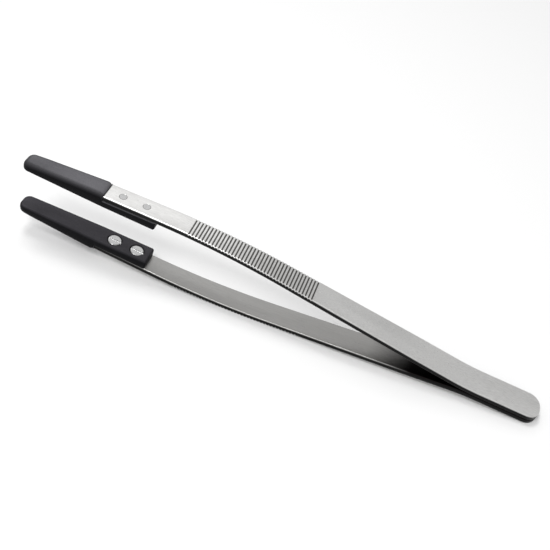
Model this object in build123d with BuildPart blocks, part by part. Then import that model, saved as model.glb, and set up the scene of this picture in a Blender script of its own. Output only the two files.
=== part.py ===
"""Long tweezers with two sprung steel arms and screwed-on moulded tips.

The tweezers are drawn in a frame of their own: x runs from the nose to the rounded end,
z = 0 is the plane midway between the arms, and the upper arm is at +z. They lie on the
lower arm's belly and the corner of the rounded end, so that frame is tilted to the floor.
The parts are written with the floor at z = 0 and the tips towards -X. Each lower piece is
the mirror image of the upper one.
"""

import os
from math import acos, asin, atan2, cos, degrees, hypot, pi, radians, sin

from build123d import *

# Whole tool (mm)
LENGTH = 220.0  # nose to rounded end
OPEN_HEIGHT = 30.8  # over the outer faces, where the arms stand furthest apart
WELD_LENGTH = 24.0  # where the two strips lie face to face

# Steel strips
SHEET = 2.3
FRONT_WIDTH = 8.5
BACK_WIDTH = 12.2
END_CORNER = 0.426 * BACK_WIDTH  # corners of the rounded end
TAPER_TO_WELD = 28.0  # the strip is at full width this far before the weld
FRONT_RISE = 1.65  # degrees, how the front stretch leans away from the other arm
FRONT_STRAIGHT = 3.0  # from the tongue's end to the belly's bend
BEND_RADIUS = 320.0  # the belly's gentle bend, at the middle of the sheet
CROTCH_RADIUS = 100.0  # the bend into the welded end

# Grip grooves across each outer face
GRIP_SETBACK = 10.5  # from the belly's bend to the first groove
GROOVE_PITCH = 1.38
GROOVE_COUNT = 39
GROOVE_WIDTH = 0.7
GROOVE_DEPTH = 0.3

# Moulded tips
TIP_LENGTH = 34.0  # nose to the steel's front edge
TIP_WIDTH = FRONT_WIDTH + 0.9  # stands proud of the steel on both sides
NOSE_WIDTH = TIP_WIDTH - 1.8
NOSE_THICKNESS = 3.9
NOSE_RADIUS = 2.2  # outer edge of the nose, seen from the side
JAW_RADIUS = 1.0  # inner edge of the nose
NOSE_CORNER = 0.35 * NOSE_WIDTH  # corners of the nose, seen from above
TIP_PROUD = 1.1  # the outer face above the steel, at the steel's edge
TIP_FALL = 1.3  # how far the outer face falls from there to the nose
STEP_RADIUS = 0.7  # edge above the steel
TIP_CHAMFER = 0.9  # along both sides of the outer face
TONGUE_LENGTH = 22.0  # along the strip's inner face
TONGUE_THICKNESS = 3.7
TONGUE_CORNER = 0.8  # corners of the tongue's end, seen from above

# Tip screws
SCREW_INSET = 6.5  # from the steel's front edge to the first screw
SCREW_SPACING = 9.8
SHANK_RADIUS = 1.5
HEAD_RADIUS = 2.75
HEAD_HEIGHT = 1.6
HEAD_SUNK = 0.5  # below the tongue's end
HEAD_EDGE = 0.35
SLOT_WIDTH = 0.8
SLOT_DEPTH = 0.7
THREAD_CLEARANCE = 0.05
TONGUE_CLEARANCE = 0.1
HEAD_CLEARANCE = 0.25

# Where each strip turns as it flexes
FLEX_LENGTH = 33.0  # from the weld to the turning line
HINGE_GAP = 0.2

RISE = radians(FRONT_RISE)
BEND_START = TIP_LENGTH + TONGUE_LENGTH + FRONT_STRAIGHT
WELD_START = LENGTH - WELD_LENGTH
HINGE_X = WELD_START - FLEX_LENGTH
BELLY_X = BEND_START * cos(RISE) + BEND_RADIUS * sin(RISE)
BELLY_Z = OPEN_HEIGHT / 2 - SHEET / 2 - BEND_RADIUS
CROTCH_Z = SHEET / 2 + CROTCH_RADIUS
NOSE_Z = BELLY_Z + BEND_RADIUS * cos(RISE) - BEND_START * sin(RISE)


def descent_angle():
    """Slope of the straight stretch that is tangent to the belly's and the crotch's arcs."""
    across = WELD_START - BELLY_X
    up = CROTCH_Z - BELLY_Z
    return asin((BEND_RADIUS + CROTCH_RADIUS) / hypot(across, up)) - atan2(up, across)


DESCENT = descent_angle()
CROTCH_START = (
    WELD_START - CROTCH_RADIUS * sin(DESCENT),
    CROTCH_Z - CROTCH_RADIUS * cos(DESCENT),
)


def floor_tilt():
    """Angle of the tool's own frame to a floor under the belly and the rounded end."""
    across = BELLY_X - LENGTH
    up = SHEET - BELLY_Z
    reach = acos((BEND_RADIUS + SHEET / 2) / hypot(across, up))
    return atan2(up, across) - reach - pi / 2


TILT = floor_tilt()


def lean(x, z):
    """A point or direction of the tool's own frame, turned to the floor."""
    return x * cos(TILT) + z * sin(TILT), z * cos(TILT) - x * sin(TILT)


def front_point(along, outward):
    """A point of the straight front stretch, from the nose and from the mid-sheet line."""
    x = along * cos(RISE) - outward * sin(RISE)
    return x, NOSE_Z + along * sin(RISE) + outward * cos(RISE)


def descent_point(x):
    """The mid-sheet point at x on the straight stretch before the crotch."""
    back = CROTCH_START[0] - x
    return x, CROTCH_START[1] + back * sin(DESCENT) / cos(DESCENT)


TIP_OUTSIDE = SHEET / 2 + TIP_PROUD
TONGUE_FACE = -SHEET / 2 - TONGUE_THICKNESS
SCREW_TOP = TONGUE_FACE + HEAD_SUNK
NOSE_OUTSIDE = TIP_OUTSIDE - TIP_FALL
TIP_SLOPE = atan2(TIP_FALL, TIP_LENGTH)

nose_drop = NOSE_RADIUS * (1 - sin(TIP_SLOPE)) / cos(TIP_SLOPE)
nose_centre = front_point(NOSE_RADIUS, NOSE_OUTSIDE - nose_drop)
foremost = lean(nose_centre[0], -nose_centre[1])[0] - NOSE_RADIUS
rearmost = lean(LENGTH, SHEET)[0]
ORIGIN = (-(foremost + rearmost) / 2, 0, -lean(LENGTH, -SHEET)[1])

along_x, along_z = lean(1, 0)
SIDE = Plane(origin=ORIGIN, x_dir=(along_x, 0, along_z), z_dir=(0, -1, 0))
MIDDLE = Plane(origin=ORIGIN, x_dir=(along_x, 0, along_z), z_dir=(-along_z, 0, along_x))
FRONT = Plane(
    origin=SIDE.from_local_coords((0, NOSE_Z, 0)),
    x_dir=SIDE.x_dir.rotate(Axis((0, 0, 0), SIDE.z_dir), FRONT_RISE),
    z_dir=(0, -1, 0),
)


def tip_section():
    """Plane square to the tip's outer face, with x across the strip and y outward."""
    origin = FRONT.from_local_coords((0, NOSE_OUTSIDE, 0))
    along = FRONT.x_dir.rotate(Axis((0, 0, 0), FRONT.z_dir), degrees(TIP_SLOPE))
    return Plane(origin=origin, x_dir=(0, 1, 0), z_dir=along)


def screw_plane(number, outward):
    """Plane of one screw, x across the strip, facing the other arm."""
    along = TIP_LENGTH + SCREW_INSET + number * SCREW_SPACING
    origin = FRONT.from_local_coords((along, outward, 0))
    return Plane(origin=origin, x_dir=(0, 1, 0), z_dir=-FRONT.y_dir)


def plan_outline():
    """The strip seen from above: a taper with a rounded end."""
    front, back = FRONT_WIDTH / 2, BACK_WIDTH / 2
    full = WELD_START - TAPER_TO_WELD
    with BuildLine() as outline:
        Polyline(
            (0, -front),
            (TIP_LENGTH, -front),
            (full, -back),
            (LENGTH, -back),
            (LENGTH, back),
            (full, back),
            (TIP_LENGTH, front),
            (0, front),
            close=True,
        )
    make_face(outline.edges())
    fillet(vertices().sort_by(Axis.X)[-2:], END_CORNER)


def belly_point(around, radius):
    """A point by its angle and radius from the centre of the belly's bend."""
    return BELLY_X + radius * sin(around), BELLY_Z + radius * cos(around)


def groove_outlines():
    """V grooves across the outer face, seen from the side."""
    face = BEND_RADIUS + SHEET / 2
    half = GROOVE_WIDTH / face
    for number in range(GROOVE_COUNT):
        around = (GRIP_SETBACK + number * GROOVE_PITCH) / face - RISE
        with BuildLine() as groove:
            Polyline(
                belly_point(around - half, face + GROOVE_DEPTH),
                belly_point(around + half, face + GROOVE_DEPTH),
                belly_point(around, face - GROOVE_DEPTH),
                close=True,
            )
        make_face(groove.edges(), mode=Mode.SUBTRACT)


# Upper arm, from the tip's step to the turning line
with BuildPart() as upper_arm:
    with BuildSketch(SIDE):
        with BuildLine():
            straight = Line(front_point(TIP_LENGTH, 0), front_point(BEND_START, 0))
            belly = JernArc(straight @ 1, straight % 1, BEND_RADIUS, -degrees(RISE + DESCENT))
            Line(belly @ 1, descent_point(HINGE_X - HINGE_GAP / 2))
        trace(line_width=SHEET)
        groove_outlines()
    extrude(amount=BACK_WIDTH, both=True)
    with BuildSketch(MIDDLE):
        plan_outline()
    extrude(amount=OPEN_HEIGHT, mode=Mode.INTERSECT)
    for number in (0, 1):
        with BuildSketch(screw_plane(number, SHEET)):
            Circle(SHANK_RADIUS)
        extrude(amount=2 * SHEET, mode=Mode.SUBTRACT)

# Upper heel, from the turning line through the welded end
with BuildPart() as upper_heel:
    with BuildSketch(SIDE):
        with BuildLine():
            descent = Line(descent_point(HINGE_X + HINGE_GAP / 2), CROTCH_START)
            crotch = JernArc(descent @ 1, descent % 1, CROTCH_RADIUS, degrees(DESCENT))
            Line(crotch @ 1, (LENGTH, SHEET / 2))
        trace(line_width=SHEET)
    extrude(amount=BACK_WIDTH, both=True)
    with BuildSketch(MIDDLE):
        plan_outline()
    extrude(amount=OPEN_HEIGHT, mode=Mode.INTERSECT)

# Upper tip: a thick jaw and a tongue along the strip's inner face
with BuildPart() as upper_tip:
    with BuildSketch(FRONT):
        with BuildLine():
            Polyline(
                (0, NOSE_OUTSIDE),
                (TIP_LENGTH, TIP_OUTSIDE),
                (TIP_LENGTH, -SHEET / 2),
                (TIP_LENGTH + TONGUE_LENGTH, -SHEET / 2),
                (TIP_LENGTH + TONGUE_LENGTH, TONGUE_FACE),
                (0, NOSE_OUTSIDE - NOSE_THICKNESS),
                close=True,
            )
        make_face()
        nose = vertices().sort_by(Axis.X)[:2].sort_by(Axis.Y)
        fillet(nose[0], JAW_RADIUS)
        fillet(nose[1], NOSE_RADIUS)
        fillet(vertices().sort_by(Axis.Y)[-1], STEP_RADIUS)
    extrude(amount=TIP_WIDTH, both=True)
    with BuildSketch(tip_section()):
        outside = Rectangle(TIP_WIDTH, 2 * OPEN_HEIGHT, align=(Align.CENTER, Align.MAX))
        chamfer(outside.vertices().sort_by(Axis.Y)[-2:], TIP_CHAMFER)
    extrude(amount=LENGTH, both=True, mode=Mode.INTERSECT)
    with BuildSketch(Plane(FRONT.origin, x_dir=FRONT.x_dir, z_dir=FRONT.y_dir)):
        with BuildLine():
            Polyline(
                (0, -NOSE_WIDTH / 2),
                (TIP_LENGTH, -TIP_WIDTH / 2),
                (TIP_LENGTH + TONGUE_LENGTH, -TIP_WIDTH / 2),
                (TIP_LENGTH + TONGUE_LENGTH, TIP_WIDTH / 2),
                (TIP_LENGTH, TIP_WIDTH / 2),
                (0, NOSE_WIDTH / 2),
                close=True,
            )
        make_face()
        ends = vertices().sort_by(Axis.X)
        fillet(ends[:2], NOSE_CORNER)
        fillet(ends[-2:], TONGUE_CORNER)
    extrude(amount=OPEN_HEIGHT, both=True, mode=Mode.INTERSECT)
    for number in (0, 1):
        with BuildSketch(screw_plane(number, 0)):
            Circle(SHANK_RADIUS + TONGUE_CLEARANCE)
        extrude(amount=OPEN_HEIGHT, mode=Mode.SUBTRACT)
        with BuildSketch(screw_plane(number, SCREW_TOP + HEAD_HEIGHT)):
            Circle(HEAD_RADIUS + HEAD_CLEARANCE)
        extrude(amount=OPEN_HEIGHT, mode=Mode.SUBTRACT)


def make_screw(number):
    """A slotted cheese-head screw: its shank ends flush with the arm's outer face."""
    with BuildPart() as screw:
        with BuildSketch(screw_plane(number, SCREW_TOP)):
            Circle(HEAD_RADIUS)
        extrude(amount=-HEAD_HEIGHT)
        fillet(edges().filter_by(GeomType.CIRCLE).sort_by(Axis.Z)[0], HEAD_EDGE)
        with BuildSketch(screw_plane(number, SCREW_TOP)):
            Circle(SHANK_RADIUS - THREAD_CLEARANCE)
        extrude(amount=SCREW_TOP - SHEET / 2)
        with BuildSketch(screw_plane(number, SCREW_TOP)):
            Rectangle(SLOT_WIDTH, 3 * HEAD_RADIUS)
        extrude(amount=-SLOT_DEPTH, mode=Mode.SUBTRACT)
    return screw


def mirrored(piece):
    """The same piece on the other arm."""
    with BuildPart() as other:
        mirror(piece, about=MIDDLE)
    return other


pieces = {"arm": upper_arm, "heel": upper_heel, "tip": upper_tip}
for number, place in enumerate(("front", "rear")):
    pieces[f"{place}_screw"] = make_screw(number)

os.makedirs("parts", exist_ok=True)
for name, upper in pieces.items():
    lower = mirrored(upper.part)
    upper.part.label = f"upper_{name}"
    lower.part.label = f"lower_{name}"
    export_step(upper.part, f"parts/upper_{name}.step")
    export_step(lower.part, f"parts/lower_{name}.step")
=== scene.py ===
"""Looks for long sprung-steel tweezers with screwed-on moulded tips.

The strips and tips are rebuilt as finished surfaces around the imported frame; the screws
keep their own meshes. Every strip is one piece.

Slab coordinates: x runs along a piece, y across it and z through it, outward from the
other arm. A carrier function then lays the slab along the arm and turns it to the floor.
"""

import math

import bpy
import numpy as np
from bpy.props import FloatProperty, FloatVectorProperty, IntProperty, PointerProperty
from mathutils import Matrix, Vector


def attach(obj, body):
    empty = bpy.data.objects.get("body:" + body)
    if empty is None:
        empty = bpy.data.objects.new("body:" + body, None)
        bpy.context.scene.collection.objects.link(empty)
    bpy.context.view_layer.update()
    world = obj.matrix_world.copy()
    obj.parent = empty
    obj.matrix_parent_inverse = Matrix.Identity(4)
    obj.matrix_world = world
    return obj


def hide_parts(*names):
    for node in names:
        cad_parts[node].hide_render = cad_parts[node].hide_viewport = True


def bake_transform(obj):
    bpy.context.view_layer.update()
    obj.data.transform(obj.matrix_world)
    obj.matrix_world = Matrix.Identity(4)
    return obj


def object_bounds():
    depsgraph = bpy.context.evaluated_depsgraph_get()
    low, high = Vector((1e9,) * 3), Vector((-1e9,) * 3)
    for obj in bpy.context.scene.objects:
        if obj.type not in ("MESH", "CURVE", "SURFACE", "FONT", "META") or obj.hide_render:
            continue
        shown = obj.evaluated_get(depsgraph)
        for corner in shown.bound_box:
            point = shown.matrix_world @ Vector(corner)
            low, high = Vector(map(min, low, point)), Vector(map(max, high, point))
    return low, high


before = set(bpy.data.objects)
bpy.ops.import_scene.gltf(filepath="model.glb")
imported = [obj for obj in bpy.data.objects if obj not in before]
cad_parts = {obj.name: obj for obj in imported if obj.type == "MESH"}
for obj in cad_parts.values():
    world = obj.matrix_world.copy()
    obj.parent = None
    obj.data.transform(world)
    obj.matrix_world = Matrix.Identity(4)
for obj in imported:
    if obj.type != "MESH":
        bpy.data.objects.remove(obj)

bl_info = {
    "name": "Aquascaping tweezers",
    "version": (1, 0, 0),
    "blender": (4, 5, 0),
    "location": "3D View > Sidebar > Tweezers",
    "description": "Finished strips, moulded tips and screws of long sprung tweezers",
    "category": "Add Mesh",
}

CAD_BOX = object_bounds()
SIDES = {"upper": 1.0, "lower": -1.0}
BOX_BACK = CAD_BOX[1][0]

# How finely the surfaces are divided
ROUND_STEPS = 4
TURN_RIBS = 17
SMALL_TURN_RIBS = 9
STEP_RIBS = 7
STRIP_RIBS = 170
TIP_RIBS = 40
TONGUE_RIBS = 30
STRIP_HOLE_RIBS = 13
TONGUE_HOLE_RIBS = 19
STRIP_COLUMNS = 18
TIP_COLUMNS = 20
SIDE_COLUMN = 0.965
TOP_SIDE_RINGS = 4
SHARP_ANGLE = math.radians(28)

# Lengths in metres that keep neighbouring ribs apart
STRIP_BLOCK = 0.0024
TONGUE_BLOCK = 0.0036
BLOCK_CLEARANCE = 0.0002
GROOVE_CLEARANCE = 0.0002
STEP_GAP = 0.00001
TONGUE_START = 0.0005

# Across a groove: its banks and valley edges as shares of its width, and how deep each lies
GROOVE_SHARES = (-0.5, -0.16, 0.16, 0.5)
GROOVE_MARKS = (0.0, 1.0, 1.0, 0.0)

NOSE_ROUND_RUN = 0.007
BEND_SHARE = 0.85
# The rim weight paints shade on the walls. These set how soon it sets in down the roundings of
# strips and tips, and how dark the strip's hole walls are painted.
STRIP_RIM_FADE = 4.0
TIP_RIM_FADE = 0.6
HOLE_RIM = 0.5

# Sockets of a colour mix
MIX_SHARE, MIX_FIRST, MIX_SECOND, MIX_RESULT = 0, 6, 7, 2

FLOOR_HALF = 6.0
SENSOR_WIDTH = 36.0
CLIP_START = 0.01
SKY_STRENGTH = 0.62
LIGHTS = {
    "back_card": {"place": (-0.2, 0.62, 0.62), "aim": (-0.05, 0, 0), "size": 0.5, "power": 0.36},
    "overhead": {"place": (-0.25, 0.12, 0.95), "aim": (0, 0, 0), "size": 0.3, "power": 3.0},
    "fill": {"place": (-0.12, -0.42, 0.75), "aim": (0, 0, 0), "size": 0.25, "power": 2.8},
}


def length_property(name, description, default):
    """A size in metres."""
    return FloatProperty(
        name=name, description=description, default=default, precision=5, unit="LENGTH"
    )


def colour_property(name, description, default):
    """A base colour, red, green and blue from 0 to 1."""
    return FloatVectorProperty(
        name=name, description=description, default=default, subtype="COLOR", size=3,
        min=0.0, max=1.0,
    )


class StripSizes(bpy.types.PropertyGroup):
    """Sizes of a sprung strip."""

    length: length_property("Length", "Nose to rounded end", 0.220)
    open_height: length_property("Open height", "Over both outer faces at the belly", 0.0308)
    sheet: length_property("Sheet", "Thickness of the strip", 0.0023)
    front_width: length_property("Front width", "Width at the tip", 0.0085)
    back_width: length_property("Back width", "Width at the rounded end", 0.0122)
    end_corner: length_property("End corner", "Corner radius of the rounded end", 0.0052)
    weld: length_property("Weld", "Where the strips lie face to face", 0.024)
    taper_to_weld: length_property("Taper to weld", "Full width starts this far before", 0.028)
    bend_start: length_property("Bend start", "Nose to the belly's bend", 0.059)
    bend_radius: length_property("Bend radius", "Radius of the belly", 0.320)
    crotch_radius: length_property("Crotch radius", "Bend into the welded end", 0.100)
    flex: length_property("Flex length", "Turning line to the weld", 0.033)
    # Painted shade: over this run the inner faces darken towards the crotch colour, and they stay
    # fully dark from its end on to the weld. This stands in for the shade between the arms.
    dull_run: length_property("Dulled run", "Length over which inner faces darken", 0.018)
    dull_end: length_property("Dulled end", "Fully dark this far before the weld", 0.028)
    edge: length_property("Broken edge", "Radius of the polished edge", 0.00048)
    rise: FloatProperty(
        name="Rise", description="Lean of the front stretch", subtype="ANGLE",
        default=math.radians(1.65),
    )


class GripSizes(bpy.types.PropertyGroup):
    """Sizes of the grooves across the outer face."""

    setback: length_property("Setback", "Belly's bend to the first groove", 0.0105)
    pitch: length_property("Pitch", "Groove to groove, on the outer face", 0.00138)
    width: length_property("Width", "Width of a groove", 0.0007)
    depth: length_property("Depth", "Depth of a groove", 0.0003)
    count: IntProperty(name="Count", description="Grooves", default=39, min=1)


class TipSizes(bpy.types.PropertyGroup):
    """Sizes of a moulded tip."""

    length: length_property("Length", "Nose to the steel's front edge", 0.034)
    width: length_property("Width", "At the steel's edge and along the tongue", 0.0094)
    nose_width: length_property("Nose width", "Across the nose", 0.0076)
    nose: length_property("Nose", "Thickness at the nose", 0.0039)
    nose_corner: length_property("Nose corner", "Corner radius seen from above", 0.00266)
    nose_round: length_property("Nose round", "Rounding of the nose seen from the side", 0.0022)
    proud: length_property("Proud", "Outer face above the steel, at its edge", 0.0011)
    fall: length_property("Fall", "Outer face, from there to the nose", 0.0013)
    crown: length_property("Crown", "Rounding along the outer edges", 0.0018)
    step_round: length_property("Step round", "Rounding of the step over the steel", 0.0017)
    lip: length_property("Lip", "Rounding along the jaw face", 0.0008)
    ledge: length_property("Ledge", "Rounding along the tongue's outer edge", 0.0002)
    tongue: length_property("Tongue", "Length along the strip's inner face", 0.022)
    tongue_thickness: length_property("Tongue thickness", "At its end", 0.0037)
    tongue_corner: length_property("Tongue corner", "Corners of its end", 0.0008)


class ScrewSizes(bpy.types.PropertyGroup):
    """Sizes of the tip screws and their holes."""

    inset: length_property("Inset", "Steel's front edge to the first screw", 0.0065)
    spacing: length_property("Spacing", "Screw to screw", 0.0098)
    hole: length_property("Hole", "Radius of the hole in the strip", 0.0015)
    tongue_hole: length_property("Tongue hole", "Radius of the hole in the tongue", 0.0016)
    seat: length_property("Seat", "Radius of the head's seat", 0.003)
    seat_floor: length_property("Seat floor", "Seat to the middle of the strip", 0.00275)
    break_edge: length_property("Break", "Chamfer of the holes", 0.00012)


class Finishes(bpy.types.PropertyGroup):
    """Colours of the finishes. The crotch, groove, rim and side colours are painted shade."""

    steel: colour_property("Steel", "Outer faces of the strips", (0.77, 0.766, 0.755))
    inner: colour_property("Inner", "Duller inner faces of the strips", (0.37, 0.365, 0.356))
    # Painted shade: near-black inner faces by the weld stand in for the shade between the arms.
    crotch: colour_property("Crotch", "Inner faces near the weld", (0.012, 0.010, 0.010))
    # Painted shade: dark groove bottoms stand in for the shade inside the grip grooves.
    groove: colour_property("Groove", "Bottoms of the grip grooves", (0.12, 0.116, 0.11))
    # Painted shade: near-black strip walls stand in for the shade and dark reflections on them.
    rim: colour_property("Rim", "Sheared edges of the strips", (0.012, 0.012, 0.012))
    plastic: colour_property("Plastic", "Outer faces of the moulded tips", (0.115, 0.113, 0.122))
    jaw: colour_property("Jaw", "Jaw faces of the moulded tips", (0.048, 0.046, 0.052))
    # Painted shade: near-black tip sides stand in for the shade on them, and the outer and jaw
    # faces stay lighter.
    side: colour_property("Side", "Sides of the moulded tips", (0.003, 0.003, 0.004))
    screw: colour_property("Screw", "Turned screws", (0.55, 0.55, 0.55))
    floor: colour_property("Floor", "Plain floor", (0.86, 0.86, 0.86))


class StageSizes(bpy.types.PropertyGroup):
    """The camera."""

    azimuth: FloatProperty(
        name="Azimuth", description="Camera's turn about the vertical", subtype="ANGLE",
        default=math.radians(-6.79),
    )
    elevation: FloatProperty(
        name="Elevation", description="Camera's height as an angle", subtype="ANGLE",
        default=math.radians(45.80),
    )
    roll: FloatProperty(
        name="Roll", description="Camera's turn about its own axis", subtype="ANGLE",
        default=math.radians(15.54),
    )
    distance: length_property("Distance", "Camera to the middle of the tool", 0.3441)
    lens: FloatProperty(
        name="Lens", description="Focal length on a 36 mm sensor", default=57.64,
        subtype="DISTANCE_CAMERA",
    )
    shift: FloatVectorProperty(
        name="Shift", description="Framing shift, right and up", size=2,
        default=(-0.0084, 0.0392),
    )


PROPERTY_GROUPS = {
    "strip": StripSizes,
    "grip": GripSizes,
    "tip": TipSizes,
    "screw": ScrewSizes,
    "finish": Finishes,
    "stage": StageSizes,
}


def settings(name):
    """The named group of sizes or colours on the scene."""
    return getattr(bpy.context.scene, f"tweezers_{name}")


# The arm's path


class ArmPath:
    """The upper strip's mid-sheet line: straight, belly arc, straight, crotch arc, straight.

    It starts at the nose. Lengths are measured along the line, and the same line mirrored
    in z is the lower strip's.
    """

    def __init__(self, strip):
        half_sheet = strip.sheet / 2
        self.rise = strip.rise
        self.bend = strip.bend_radius
        self.crotch = strip.crotch_radius
        self.weld_x = strip.length - strip.weld
        self.belly = np.array([
            strip.bend_start * math.cos(self.rise) + self.bend * math.sin(self.rise),
            strip.open_height / 2 - half_sheet - self.bend,
        ])
        centre = np.array([self.weld_x, half_sheet + self.crotch])
        across, up = centre - self.belly
        reach = math.asin((self.bend + self.crotch) / math.hypot(across, up))
        self.descent = reach - math.atan2(up, across)
        self.nose_z = (
            self.belly[1]
            + self.bend * math.cos(self.rise)
            - strip.bend_start * math.sin(self.rise)
        )
        end_of_belly = self.belly + self.bend * self.direction(self.descent)
        start_of_crotch = centre - self.crotch * self.direction(self.descent)
        run = np.linalg.norm(start_of_crotch - end_of_belly)
        lengths = (
            strip.bend_start,
            self.bend * (self.rise + self.descent),
            run,
            self.crotch * self.descent,
            strip.weld,
        )
        self.marks = np.concatenate([[0.0], np.cumsum(lengths)])
        curvatures = (0.0, -1.0 / self.bend, 0.0, 1.0 / self.crotch, 0.0)
        self.curvatures = np.array(curvatures)
        self.length = self.marks[-1]
        self.tilt = self.floor_tilt(strip)
        self.origin = self.rest_origin(strip)

    @staticmethod
    def direction(descent):
        """Unit vector square to a line that descends at this angle."""
        return np.array([math.sin(descent), math.cos(descent)])

    def floor_tilt(self, strip):
        """Angle to a floor that touches the belly and the rounded end's lower corner."""
        across = self.belly[0] - strip.length
        up = strip.sheet - self.belly[1]
        reach = math.acos((self.bend + strip.sheet / 2) / math.hypot(across, up))
        return math.atan2(up, across) - reach - math.pi / 2

    def rest_origin(self, strip):
        """Where the tool's own origin lies once it is on the floor, x from the frame's box."""
        corner_x, corner_z = self.lean(strip.length, -strip.sheet)
        back_x = self.lean(strip.length, strip.sheet)[0]
        return np.array([BOX_BACK - back_x, 0.0, -corner_z])

    def lean(self, x, z):
        """x and z turned by the tilt to the floor."""
        return (
            x * math.cos(self.tilt) + z * math.sin(self.tilt),
            z * math.cos(self.tilt) - x * math.sin(self.tilt),
        )

    def at(self, along):
        """Position and slope at each length: each stretch's chord is 2 r sin(turn / 2)."""
        along = np.asarray(along, float)
        start = np.array([0.0, self.nose_z])
        slope = self.rise
        x, z, slopes = (np.zeros_like(along) for _ in range(3))
        for first, last, bend in zip(self.marks, self.marks[1:], self.curvatures):
            run = np.minimum(along, last) - first
            inside = (along >= first) if first else np.ones_like(along, bool)
            if last == self.marks[-1]:
                run = along - first
            turn = bend * run
            chord = run * np.sinc(turn / (2 * np.pi))
            px = start[0] + chord * np.cos(slope + turn / 2)
            pz = start[1] + chord * np.sin(slope + turn / 2)
            x, z = np.where(inside, px, x), np.where(inside, pz, z)
            slopes = np.where(inside, slope + turn, slopes)
            full = last - first
            whole = bend * full
            reach = full * np.sinc(whole / (2 * np.pi))
            start = start + reach * np.array([
                math.cos(slope + whole / 2), math.sin(slope + whole / 2)
            ])
            slope += whole
        return x, z, slopes

    def carry(self, points, side):
        """Lays slab points on the arm.

        x runs along the line and z along its normal: across = x - z sin(slope) and
        height = z0 + z cos(slope), with the height reversed for the lower arm. The result
        is then tilted to the floor.
        """
        x, z, slopes = self.at(points[:, 0])
        x = x - points[:, 2] * np.sin(slopes)
        z = side * (z + points[:, 2] * np.cos(slopes))
        row_x, row_z = self.lean(x, z)
        return np.column_stack([row_x, points[:, 1], row_z]) + self.origin


# Slabs: closed plates with rounded edges and round holes


class Stations:
    """Ribs across a slab. Inset by d, a rib ends at (x + dx d, y + dy d) and its mirror image.

    A mark from 0 to 1 says how far down in a groove a rib lies.
    """

    def __init__(self):
        self.rows = []

    def add(self, x, y, dx, dy, top, bottom, top_round, bottom_round, mark=0.0):
        """Appends ribs; every value may be an array or one number."""
        values = (x, y, dx, dy, top, bottom, top_round, bottom_round, mark)
        parts = np.broadcast_arrays(*(np.atleast_1d(value).astype(float) for value in values))
        self.rows.append(np.stack(parts))

    def arrays(self):
        """x, y, dx, dy, top, bottom, top round, bottom round and mark, a value for each rib."""
        return np.concatenate(self.rows, axis=1)


def slab_mesh(stations, columns, holes, rim_fade):
    """Vertices, faces and surface weights of a closed plate.

    The top and bottom are grids of ribs by columns. Their borders are joined by loops that
    go down a quarter circle, along the wall and round the other quarter circle:
    inset = r (1 - sin a), height = top - r (1 - cos a). A hole replaces a block of grid
    cells by rings that blend the block's border into a circle. The rim weight grows down a
    quarter circle as the share of its steps to the power rim_fade.
    """
    x, y, dx, dy, top, bottom, top_round, bottom_round, mark = stations.arrays()
    ribs, width = len(x), len(columns)

    def grid(height, inset):
        gx = np.repeat(x + dx * inset, width)
        gy = ((y + dy * inset)[:, None] * columns[None, :]).ravel()
        return np.column_stack([gx, gy, np.repeat(height, width)])

    rib_of = np.concatenate([
        np.arange(ribs),
        np.full(width - 2, ribs - 1),
        np.arange(ribs)[::-1],
        np.zeros(width - 2, int),
    ])
    column_of = np.concatenate([
        np.full(ribs, width - 1),
        np.arange(1, width - 1)[::-1],
        np.zeros(ribs, int),
        np.arange(1, width - 1),
    ])
    border = rib_of * width + column_of

    def loop(height, inset):
        lx = (x + dx * inset)[rib_of]
        ly = (y + dy * inset)[rib_of] * columns[column_of]
        return np.column_stack([lx, ly, height[rib_of]])

    angles = np.linspace(0, np.pi / 2, ROUND_STEPS + 1)[1:]
    down = [
        loop(top - top_round * (1 - np.cos(a)), top_round * (1 - np.sin(a))) for a in angles
    ]
    up = [
        loop(bottom + bottom_round * (1 - np.cos(a)), bottom_round * (1 - np.sin(a)))
        for a in angles[::-1]
    ]
    points = [grid(top, top_round), *down, *up, grid(bottom, bottom_round)]
    # The rim weight, which the finishes use to paint shade on the walls, grows down each rounding.
    shares = (np.arange(1, ROUND_STEPS + 1) / ROUND_STEPS) ** rim_fade
    steps = [np.full(len(border), share) for share in shares]
    rim = [np.zeros(ribs * width), *steps, *steps[::-1], np.zeros(ribs * width)]
    below = np.ones(len(border) * ROUND_STEPS + ribs * width)
    inner = [np.zeros(len(below)), below]
    groove = [np.repeat(mark, width)]

    offsets = np.concatenate([[0], np.cumsum([len(p) for p in points])])
    bottom_start = offsets[-2]
    rings = [border, *(offsets[k + 1] + np.arange(len(border)) for k in range(2 * ROUND_STEPS))]
    rings.append(border + bottom_start)
    faces = [ring_faces(a, b) for a, b in zip(rings, rings[1:])]

    cells = (np.arange(ribs - 1)[:, None] * width + np.arange(width - 1)[None, :])
    solid = np.ones_like(cells, bool)
    count = offsets[-1]
    faces_of_slab = points[0], points[-1]
    for hole in holes:
        block = hole_block(x, y, columns, hole)
        solid[block[0]:block[1], block[2]:block[3]] = False
        edge = block_border(block, width)
        extra, extra_faces = hole_rings(*faces_of_slab, edge, bottom_start, hole, count)
        points.append(extra)
        rim.append(hole_rim(hole, len(edge), len(extra)))
        ring_numbers = np.arange(len(extra) // len(edge))
        inner.append(np.repeat(ring_numbers >= TOP_SIDE_RINGS, len(edge)))
        faces.append(extra_faces)
        count += len(extra)
    kept = cells[solid]
    quads = np.column_stack([kept, kept + width, kept + width + 1, kept + 1])
    faces.append(quads)
    faces.append(quads[:, ::-1] + bottom_start)
    groove.append(np.zeros(count - ribs * width))
    weights = {"rim": rim, "inner": inner, "groove": groove}
    weights = {name: np.concatenate(parts).astype(float) for name, parts in weights.items()}
    return np.concatenate(points), np.concatenate(faces), weights


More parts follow.
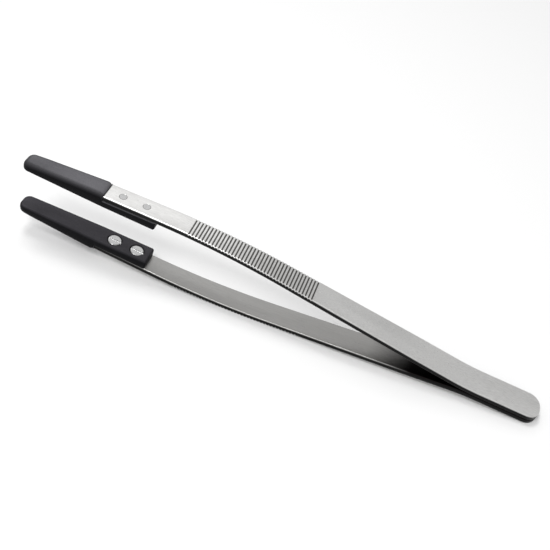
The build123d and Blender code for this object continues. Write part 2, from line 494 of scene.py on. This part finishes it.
def ring_faces(first, second):
    """Quads between two closed rings of equal length, from each point to the next one on."""
    return np.column_stack([first, np.roll(first, -1), np.roll(second, -1), second])


def hole_block(x, y, columns, hole):
    """First and last rib and column of the grid cells that a hole replaces."""
    reach = hole["block"]
    first = int(np.searchsorted(x, hole["x"] - reach))
    last = int(np.searchsorted(x, hole["x"] + reach))
    across = columns * y[(first + last) // 2]
    left = int(np.argmin(np.abs(across + reach)))
    right = int(np.argmin(np.abs(across - reach)))
    return first, last, left, right


def block_border(block, width):
    """Grid indices round a block, in order."""
    first, last, left, right = block
    path = [
        (np.arange(first, last), right),
        (last, np.arange(right, left, -1)),
        (np.arange(last, first, -1), left),
        (first, np.arange(left, right)),
    ]
    return np.concatenate([np.atleast_1d(a * width + b) for a, b in path])


def hole_rings(top, bottom, edge, bottom_start, hole, count):
    """Rings from the top's block border through the hole to the bottom's.

    Each border point keeps its own angle about the hole's middle, and two rings on each
    face blend the border into the circle.
    """
    middle = np.array([hole["x"], 0.0])
    angle = np.arctan2(top[edge, 1] - middle[1], top[edge, 0] - middle[0])
    spoke = np.column_stack([np.cos(angle), np.sin(angle)])

    def blended(face, share, radius):
        flat = middle + radius * spoke
        xy = face[edge, :2] * (1 - share) + flat * share
        return np.column_stack([xy, plane_height(face[edge], xy)])

    (top_radius, _), *wall, (bottom_radius, _) = hole["profile"]
    rings = [blended(top, 0.5, top_radius), blended(top, 1.0, top_radius)]
    for radius, height in wall:
        flat = middle + radius * spoke
        rings.append(np.column_stack([flat, np.full(len(edge), height)]))
    rings += [blended(bottom, 1.0, bottom_radius), blended(bottom, 0.5, bottom_radius)]
    indices = [count + k * len(edge) + np.arange(len(edge)) for k in range(len(rings))]
    order = [edge, *indices, edge + bottom_start]
    joined = np.concatenate([ring_faces(a, b)[:, ::-1] for a, b in zip(order, order[1:])])
    return np.concatenate(rings), joined


def hole_rim(hole, around, total):
    """Rim weight of a hole's rings: its wall alone, between two rings on each face."""
    weight = np.full(total, hole.get("rim", 0.0))
    weight[: 2 * around] = 0.0
    weight[-2 * around:] = 0.0
    return weight


def plane_height(corners, xy):
    """Height at xy of the plane through a flat face's points, by least squares."""
    system = np.column_stack([corners[:, :2], np.ones(len(corners))])
    plane = np.linalg.lstsq(system, corners[:, 2], rcond=None)[0]
    return xy @ plane[:2] + plane[2]


def make_piece(name, points, faces, weights, material):
    """A smooth mesh object at the origin, with its surface weights as attributes."""
    mesh = bpy.data.meshes.new(name)
    mesh.vertices.add(len(points))
    mesh.vertices.foreach_set("co", points.astype(np.float32).ravel())
    mesh.loops.add(faces.size)
    mesh.loops.foreach_set("vertex_index", faces.astype(np.int32).ravel())
    mesh.polygons.add(len(faces))
    mesh.polygons.foreach_set("loop_start", np.arange(0, faces.size, 4, dtype=np.int32))
    mesh.update(calc_edges=True)
    mesh.validate()
    for key, values in weights.items():
        attribute = mesh.attributes.new(key, "FLOAT", "POINT")
        attribute.data.foreach_set("value", values.astype(np.float32))
    mesh.polygons.foreach_set("use_smooth", np.ones(len(mesh.polygons), bool))
    mesh.set_sharp_from_angle(angle=SHARP_ANGLE)
    mesh.materials.append(material)
    piece = bpy.data.objects.new(name, mesh)
    bpy.context.scene.collection.objects.link(piece)
    return piece


# The strip's and the tip's ribs


def screw_places():
    """Each screw's place along the arm's path."""
    tip, screw = settings("tip"), settings("screw")
    return [tip.length + screw.inset + number * screw.spacing for number in (0, 1)]


def strip_stations(path):
    """Ribs of a strip: front edge, screw holes, grooves, taper and rounded end.

    The half width grows in a straight line from the tip to where the taper ends, and the
    rounded end follows y = half width - r (1 - cos a), x = corner + r sin a. Grooves lie at
    equal steps on the outer face, so their places on the mid-sheet line are closer by
    R / (R + half the sheet). A groove is a trapezium that lowers the outer face.
    """
    strip, grip, tip, screw = (settings(n) for n in ("strip", "grip", "tip", "screw"))
    half = strip.sheet / 2
    start, end = tip.length, path.length
    corner = end - strip.end_corner
    plain = [np.linspace(start + strip.edge, corner, STRIP_RIBS)]
    for place in screw_places():
        plain.append(np.linspace(place - STRIP_BLOCK, place + STRIP_BLOCK, STRIP_HOLE_RIBS))
    scale = strip.bend_radius / (strip.bend_radius + half)
    valleys = strip.bend_start + (grip.setback + np.arange(grip.count) * grip.pitch) * scale
    banks = np.array(GROOVE_SHARES) * grip.width * scale
    inside = (valleys[:, None] + banks[None, :]).ravel()
    marks = np.tile(GROOVE_MARKS, grip.count)
    kept = []
    for group in plain:
        before = group < inside[0] - GROOVE_CLEARANCE
        clear = before | (group > inside[-1] + GROOVE_CLEARANCE)
        kept.append(group[clear])
    for place in screw_places():
        crowded = np.abs(kept[0] - place) < STRIP_BLOCK + BLOCK_CLEARANCE
        kept[0] = kept[0][~crowded]
    x = np.concatenate([*kept, inside])
    mark = np.concatenate([np.zeros(sum(len(k) for k in kept)), marks])
    order = np.argsort(x, kind="stable")
    x, mark = x[order], mark[order]
    across = path.at(x)[0]
    full = path.weld_x - strip.taper_to_weld
    widths = (strip.front_width / 2, strip.back_width / 2)
    y = np.interp(across, (tip.length, full), widths)
    ribs = Stations()
    ribs.add(start, y[0], 1.0, -1.0, half, -half, strip.edge, strip.edge)
    top = half - mark * grip.depth
    ribs.add(x, y, 0.0, -1.0, top, -half, strip.edge, strip.edge, mark)
    turn = np.linspace(0, np.pi / 2, TURN_RIBS)[1:]
    round_x = corner + strip.end_corner * np.sin(turn)
    round_y = widths[1] - strip.end_corner * (1 - np.cos(turn))
    ribs.add(
        round_x, round_y, -np.sin(turn), -np.cos(turn), half, -half, strip.edge, strip.edge
    )
    return ribs


def tip_stations():
    """Ribs of a tip: rounded nose, wedge-shaped body, step behind the steel's edge, tongue.

    The outer face falls in a straight line to the nose, and the jaw face is one straight
    line from the nose to the tongue's end. The nose follows x = r (1 - sin a) and
    y = side - r (1 - cos a), and the step and the tongue's end are quarter circles too.
    """
    strip, tip = settings("strip"), settings("tip")
    steel = strip.sheet / 2
    end = tip.length + tip.tongue
    half = tip.width / 2
    nose_half = tip.nose_width / 2
    nose_top = steel + tip.proud - tip.fall
    jaw_front = nose_top - tip.nose
    jaw_back = -steel - tip.tongue_thickness

    def jaw(x):
        return jaw_front + (jaw_back - jaw_front) * x / end

    def outside(x):
        return nose_top + tip.fall * x / tip.length

    def side(x):
        return nose_half + (half - nose_half) * x / tip.length

    def crown(x):
        near_nose = np.clip(1 - x / NOSE_ROUND_RUN, 0, 1)
        return tip.crown + (tip.nose_round - tip.crown) * near_nose

    ribs = Stations()
    turn = np.linspace(np.pi / 2, 0, TURN_RIBS)[:-1]
    nose_x = tip.nose_corner * (1 - np.sin(turn))
    nose_y = side(nose_x) - tip.nose_corner * (1 - np.cos(turn))
    ribs.add(
        nose_x, nose_y, np.sin(turn), -np.cos(turn), outside(nose_x), jaw(nose_x),
        crown(nose_x), tip.lip,
    )
    body = np.linspace(tip.nose_corner, tip.length - tip.step_round, TIP_RIBS)
    ribs.add(body, side(body), 0.0, -1.0, outside(body), jaw(body), crown(body), tip.lip)
    turn = np.linspace(0, np.pi / 2, STEP_RIBS)[1:]
    step_x = tip.length - tip.step_round * (1 - np.sin(turn))
    step_top = outside(step_x) - tip.step_round * (1 - np.cos(turn))
    ribs.add(step_x, side(step_x), 0.0, -1.0, step_top, jaw(step_x), tip.crown, tip.lip)
    behind = tip.length + STEP_GAP
    ribs.add(behind, half, 0.0, -1.0, steel, jaw(behind), tip.ledge, tip.lip)
    ribs.add(behind + STEP_GAP, half, 0.0, -1.0, -steel, jaw(behind), tip.ledge, tip.lip)
    tongue_start = tip.length + TONGUE_START
    tongue = [np.linspace(tongue_start, end - tip.tongue_corner, TONGUE_RIBS)]
    for place in screw_places():
        crowded = np.abs(tongue[0] - place) < TONGUE_BLOCK + BLOCK_CLEARANCE
        tongue[0] = tongue[0][~crowded]
        tongue.append(np.linspace(place - TONGUE_BLOCK, place + TONGUE_BLOCK, TONGUE_HOLE_RIBS))
    tongue = np.sort(np.concatenate(tongue))
    ribs.add(tongue, half, 0.0, -1.0, -steel, jaw(tongue), tip.ledge, tip.lip)
    turn = np.linspace(0, np.pi / 2, SMALL_TURN_RIBS)[1:]
    round_x = end - tip.tongue_corner * (1 - np.sin(turn))
    round_y = half - tip.tongue_corner * (1 - np.cos(turn))
    ribs.add(
        round_x, round_y, -np.sin(turn), -np.cos(turn), -steel, jaw(round_x), tip.ledge,
        tip.lip,
    )
    return ribs, jaw


# Finishes


class NodeSheet:
    """A small helper that adds and links shader nodes."""

    def __init__(self, name):
        self.material = bpy.data.materials.new(name)
        self.material.use_nodes = True
        self.tree = self.material.node_tree
        self.shader = self.tree.nodes["Principled BSDF"]

    def add(self, kind, **inputs):
        """A node of this kind, with inputs given as numbers or as other nodes' outputs."""
        node = self.tree.nodes.new(kind)
        for key, value in inputs.items():
            self.feed(node, key.replace("_", " "), value)
        return node

    def feed(self, node, key, value):
        """Sets or links one input."""
        socket = node.inputs[int(key)] if key.isdigit() else node.inputs[key]
        if isinstance(value, bpy.types.NodeSocket):
            self.tree.links.new(value, socket)
        else:
            socket.default_value = value

    def stretched(self, scale):
        """Object coordinates scaled along each axis."""
        place = self.add("ShaderNodeTexCoord")
        mapping = self.add("ShaderNodeMapping", Vector=place.outputs["Object"])
        mapping.inputs["Scale"].default_value = scale
        return mapping.outputs["Vector"]

    def noise(self, scale, detail, size=1.0, roughness=0.5):
        """Noise on stretched object coordinates."""
        node = self.add(
            "ShaderNodeTexNoise", Vector=self.stretched(scale), Scale=size,
            Detail=detail, Roughness=roughness,
        )
        return node.outputs["Fac"]

    def ranged(self, value, low, high, to_low, to_high):
        """Value carried from one range to another."""
        node = self.add("ShaderNodeMapRange", Value=value)
        limits = {"From Min": low, "From Max": high, "To Min": to_low, "To Max": to_high}
        for key, number in limits.items():
            node.inputs[key].default_value = number
        return node.outputs["Result"]

    def mixed(self, share, first, second):
        """One colour mixed into another."""
        node = self.tree.nodes.new("ShaderNodeMix")
        node.data_type = "RGBA"
        for index, value in ((MIX_SHARE, share), (MIX_FIRST, first), (MIX_SECOND, second)):
            self.feed(node, str(index), value)
        return node.outputs[MIX_RESULT]

    def attribute(self, name):
        """A mesh attribute."""
        node = self.tree.nodes.new("ShaderNodeAttribute")
        node.attribute_name = name
        return node.outputs["Fac"]

    def bump(self, height, strength, distance):
        """Fine relief on the surface."""
        node = self.add("ShaderNodeBump", Height=height, Strength=strength, Distance=distance)
        self.feed(self.shader, "Normal", node.outputs["Normal"])

    def math(self, operation, first, second):
        """Two values joined by an operation."""
        node = self.tree.nodes.new("ShaderNodeMath")
        node.operation = operation
        self.feed(node, "0", first)
        self.feed(node, "1", second)
        return node.outputs[0]

    def times(self, first, second):
        """Product of two values."""
        return self.math("MULTIPLY", first, second)

    def sum(self, first, second):
        """Sum of two values."""
        return self.math("ADD", first, second)

    def scaled(self, colour, value):
        """A colour made lighter or darker by a value."""
        node = self.tree.nodes.new("ShaderNodeVectorMath")
        node.operation = "SCALE"
        self.feed(node, "Vector", colour)
        self.feed(node, "Scale", value)
        return node.outputs["Vector"]


def rgba(colour, scale=1.0):
    """A colour property with its brightness scaled, opaque."""
    return (*(min(1.0, channel * scale) for channel in colour), 1.0)


def steel_finish():
    """Satin strip steel: grain along the strip, cloudy polish and scratches, with painted shade in
    the dark grooves, on the dark rim and on the inner faces near the weld.
    """
    colours = settings("finish")
    sheet = NodeSheet("strip_satin")
    grain = sheet.noise((60, 5200, 5200), 5, roughness=0.6)
    cloud = sheet.noise((28, 60, 60), 3)
    scratch = sheet.noise((160, 1500, 1500), 2, roughness=0.75)
    # Painted shade: the depth weight turns the inner faces to the crotch colour towards the weld.
    inner = sheet.mixed(sheet.attribute("depth"), rgba(colours.inner), rgba(colours.crotch))
    tone = sheet.mixed(sheet.attribute("inner"), rgba(colours.steel), inner)
    streaks = sheet.ranged(grain, 0.3, 0.7, 0.82, 1.06)
    patches = sheet.ranged(cloud, 0.3, 0.7, 0.93, 1.04)
    face = sheet.scaled(tone, sheet.times(streaks, patches))
    # Painted shade: the groove bottoms take the dark groove colour.
    cut = sheet.mixed(sheet.attribute("groove"), face, rgba(colours.groove))
    # Painted shade: the walls take the near-black rim colour.
    rim = sheet.mixed(sheet.attribute("rim"), cut, rgba(colours.rim))
    sheet.feed(sheet.shader, "Base Color", rim)
    polish = sheet.ranged(grain, 0.25, 0.75, 0.27, 0.42)
    worn = sheet.ranged(scratch, 0.66, 0.74, 0.0, -0.1)
    sheet.feed(sheet.shader, "Roughness", sheet.sum(polish, worn))
    sheet.feed(sheet.shader, "Metallic", 1.0)
    sheet.feed(sheet.shader, "Anisotropic", 0.3)
    sheet.bump(grain, 0.3, 0.00004)
    return sheet.material


def plastic_finish():
    """Moulded plastic: fine grain, faint flow marks, patchy roughness on the faces and painted
    shade on the dark sides.
    """
    colours = settings("finish")
    sheet = NodeSheet("tip_moulding")
    grain = sheet.noise((1, 1, 1), 4, size=2600, roughness=0.65)
    flow = sheet.noise((45, 160, 160), 3)
    rubbed = sheet.noise((1, 1, 1), 4, size=260, roughness=0.6)
    faces = sheet.mixed(sheet.attribute("inner"), rgba(colours.plastic), rgba(colours.jaw))
    # Painted shade: the rim weight gives the sides the near-black side colour.
    tone = sheet.mixed(sheet.attribute("rim"), faces, rgba(colours.side))
    speckle = sheet.ranged(grain, 0.3, 0.7, 0.8, 1.2)
    patches = sheet.ranged(flow, 0.3, 0.7, 0.8, 1.15)
    sheet.feed(sheet.shader, "Base Color", sheet.scaled(tone, sheet.times(speckle, patches)))
    sheet.feed(sheet.shader, "Roughness", sheet.ranged(rubbed, 0.3, 0.7, 0.38, 0.52))
    sheet.feed(sheet.shader, "Specular IOR Level", 0.06)
    sheet.bump(grain, 0.3, 0.00006)
    return sheet.material


def screw_finish():
    """Turned stainless steel with faint tool marks."""
    colours = settings("finish")
    sheet = NodeSheet("turned_screw")
    marks = sheet.noise((1800, 1800, 1800), 3, roughness=0.7)
    base = sheet.mixed(
        sheet.ranged(marks, 0.35, 0.65, 0.0, 1.0), rgba(colours.screw, 0.85), rgba(colours.screw)
    )
    sheet.feed(sheet.shader, "Base Color", base)
    sheet.feed(sheet.shader, "Metallic", 1.0)
    sheet.feed(sheet.shader, "Roughness", sheet.ranged(marks, 0.3, 0.7, 0.18, 0.34))
    sheet.bump(marks, 0.2, 0.00004)
    return sheet.material


# Operators


class TWEEZERS_OT_strips(bpy.types.Operator):
    """Add both sprung strips, each one piece from its front edge to the rounded end"""

    bl_idname = "tweezers.strips"
    bl_label = "Sprung strips"

    def execute(self, context):
        strip, screw = settings("strip"), settings("screw")
        path = ArmPath(strip)
        finish = steel_finish()
        half = strip.sheet / 2
        cut = screw.break_edge
        profile = [
            (screw.hole + cut, half),
            (screw.hole, half - cut),
            (screw.hole, -half + cut),
            (screw.hole + cut, -half),
        ]
        holes = [
            {"x": place, "block": STRIP_BLOCK, "profile": profile, "rim": HOLE_RIM}
            for place in screw_places()
        ]
        points, faces, weights = slab_mesh(
            strip_stations(path), spread_columns(STRIP_COLUMNS), holes, STRIP_RIM_FADE
        )
        # The depth weight paints shade on the inner faces near the weld. It is 0 until the run
        # starts and 1 from the run's end to the weld.
        weld_start = path.marks[4]
        unshaded = (weld_start - strip.dull_end - points[:, 0]) / strip.dull_run
        weights["depth"] = 1 - np.clip(unshaded, 0, 1)
        turning = weld_start - strip.flex
        reach = strip.flex * BEND_SHARE
        bend = np.array([[turning + reach, 0, 0], [turning - reach, 0, 0]])
        for side, sign in SIDES.items():
            name = f"{side}_strip"
            laid = path.carry(points, sign)
            piece = make_piece(name, laid, faces[:, ::int(sign)], weights, finish)
            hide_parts(f"{side}_arm", f"{side}_heel")
            ends = path.carry(bend, sign)
            tuple(ends[0])
            tuple(ends[1])
            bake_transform(piece)
        return {"FINISHED"}


class TWEEZERS_OT_tips(bpy.types.Operator):
    """Add both moulded tips, with their tongues and screw seats"""

    bl_idname = "tweezers.tips"
    bl_label = "Moulded tips"

    def execute(self, context):
        path = ArmPath(settings("strip"))
        finish = plastic_finish()
        screw = settings("screw")
        ribs, jaw = tip_stations()
        inside = -settings("strip").sheet / 2
        floor = -screw.seat_floor
        holes = []
        for place in screw_places():
            profile = [
                (screw.tongue_hole, inside),
                (screw.tongue_hole, floor),
                (screw.seat, floor),
                (screw.seat + screw.break_edge, jaw(place)),
            ]
            holes.append({"x": place, "block": TONGUE_BLOCK, "profile": profile})
        points, faces, weights = slab_mesh(
            ribs, spread_columns(TIP_COLUMNS), holes, TIP_RIM_FADE
        )
        for side, sign in SIDES.items():
            name = f"{side}_tip_moulding"
            laid = path.carry(points, sign)
            piece = make_piece(name, laid, faces[:, ::int(sign)], weights, finish)
            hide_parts(f"{side}_tip")
            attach(piece, f"{side}_arm")
        return {"FINISHED"}


class TWEEZERS_OT_screws(bpy.types.Operator):
    """Give the four tip screws their turned finish"""

    bl_idname = "tweezers.screws"
    bl_label = "Tip screws"

    def execute(self, context):
        finish = screw_finish()
        for side in SIDES:
            for place in ("front", "rear"):
                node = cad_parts[f"{side}_{place}_screw"]
                for slot in node.material_slots:
                    slot.material = finish
        return {"FINISHED"}


class TWEEZERS_OT_stage(bpy.types.Operator):
    """Add the floor, the soft lights and the camera"""

    bl_idname = "tweezers.stage"
    bl_label = "Stage"

    def execute(self, context):
        add_floor()
        add_lights()
        add_camera()
        return {"FINISHED"}


def spread_columns(count):
    """Columns across a slab from -1 to 1, with a narrow one at each side."""
    middle = np.linspace(-SIDE_COLUMN, SIDE_COLUMN, count - 1)
    return np.concatenate([[-1.0], middle, [1.0]])


def add_floor():
    """A plain pale floor, large enough to fill every view."""
    corners = np.array([[-1, -1, 0], [1, -1, 0], [1, 1, 0], [-1, 1, 0]]) * FLOOR_HALF
    mesh = bpy.data.meshes.new("floor")
    mesh.from_pydata(corners.tolist(), [], [(0, 1, 2, 3)])
    sheet = NodeSheet("plain_floor")
    sheet.feed(sheet.shader, "Base Color", rgba(settings("finish").floor))
    sheet.feed(sheet.shader, "Roughness", 0.85)
    sheet.feed(sheet.shader, "Specular IOR Level", 0.1)
    mesh.materials.append(sheet.material)
    floor = bpy.data.objects.new("floor", mesh)
    bpy.context.scene.collection.objects.link(floor)


def add_light(name, place, aim, size, power):
    """A square soft light that faces a point."""
    data = bpy.data.lights.new(name, "AREA")
    data.shape = "SQUARE"
    data.size = size
    data.energy = power
    light = bpy.data.objects.new(name, data)
    light.location = place
    light.rotation_euler = look_along(np.array(aim) - np.array(place))
    bpy.context.scene.collection.objects.link(light)


def look_along(direction):
    """Euler turn that points -Z along a direction, with Y up."""
    return Vector(direction).to_track_quat("-Z", "Y").to_euler()


def add_lights():
    """A pale card behind the tips, a soft light overhead, one by the camera, a pale sky."""
    for name, light in LIGHTS.items():
        add_light(name, **light)
    world = bpy.data.worlds.new("sky")
    bpy.context.scene.world = world
    world.use_nodes = True
    background = world.node_tree.nodes["Background"]
    background.inputs["Color"].default_value = (1.0, 1.0, 1.0, 1.0)
    background.inputs["Strength"].default_value = SKY_STRENGTH
    bpy.context.scene.view_settings.view_transform = "Standard"


def add_camera():
    """The camera looks at the middle of the tool, rolled about its own axis.

    Its direction is (cos e sin a, cos e cos a, -sin e) for the azimuth a and elevation e.
    """
    stage = settings("stage")
    path = ArmPath(settings("strip"))
    x, z = path.lean(settings("strip").length / 2, 0.0)
    target = np.array([x, 0.0, z]) + path.origin
    ahead = np.array([
        math.cos(stage.elevation) * math.sin(stage.azimuth),
        math.cos(stage.elevation) * math.cos(stage.azimuth),
        -math.sin(stage.elevation),
    ])
    level = np.cross(ahead, (0, 0, 1))
    level /= np.linalg.norm(level)
    above = np.cross(level, ahead)
    right = level * math.cos(stage.roll) + above * math.sin(stage.roll)
    up = above * math.cos(stage.roll) - level * math.sin(stage.roll)
    data = bpy.data.cameras.new("camera")
    data.sensor_width = SENSOR_WIDTH
    data.lens = stage.lens
    data.shift_x, data.shift_y = stage.shift
    data.clip_start = CLIP_START
    camera = bpy.data.objects.new("camera", data)
    turn = Matrix(np.column_stack([right, up, -ahead]).tolist()).to_4x4()
    camera.matrix_world = Matrix.Translation(Vector(target - ahead * stage.distance)) @ turn
    bpy.context.scene.collection.objects.link(camera)
    bpy.context.scene.camera = camera


class TWEEZERS_PT_panel(bpy.types.Panel):
    """Lists the tweezers' pieces"""

    bl_label = "Tweezers"
    bl_space_type = "VIEW_3D"
    bl_region_type = "UI"
    bl_category = "Tweezers"

    def draw(self, context):
        for operator in OPERATORS:
            self.layout.operator(operator.bl_idname)
        for name, group in PROPERTY_GROUPS.items():
            box = self.layout.box()
            box.label(text=group.__name__)
            for key in group.__annotations__:
                box.prop(settings(name), key)


OPERATORS = (
    TWEEZERS_OT_strips,
    TWEEZERS_OT_tips,
    TWEEZERS_OT_screws,
    TWEEZERS_OT_stage,
)


def register():
    """Registers the property groups, operators and panel."""
    for name, group in PROPERTY_GROUPS.items():
        bpy.utils.register_class(group)
        setattr(bpy.types.Scene, f"tweezers_{name}", PointerProperty(type=group))
    for operator in (*OPERATORS, TWEEZERS_PT_panel):
        bpy.utils.register_class(operator)


def unregister():
    """Takes the registered classes away again."""
    for operator in reversed((*OPERATORS, TWEEZERS_PT_panel)):
        bpy.utils.unregister_class(operator)
    for name, group in reversed(PROPERTY_GROUPS.items()):
        delattr(bpy.types.Scene, f"tweezers_{name}")
        bpy.utils.unregister_class(group)


def main():
    """Makes every piece."""
    register()
    for operator in OPERATORS:
        group, name = operator.bl_idname.split(".")
        getattr(getattr(bpy.ops, group), name)()


if __name__ == "__main__":
    main()
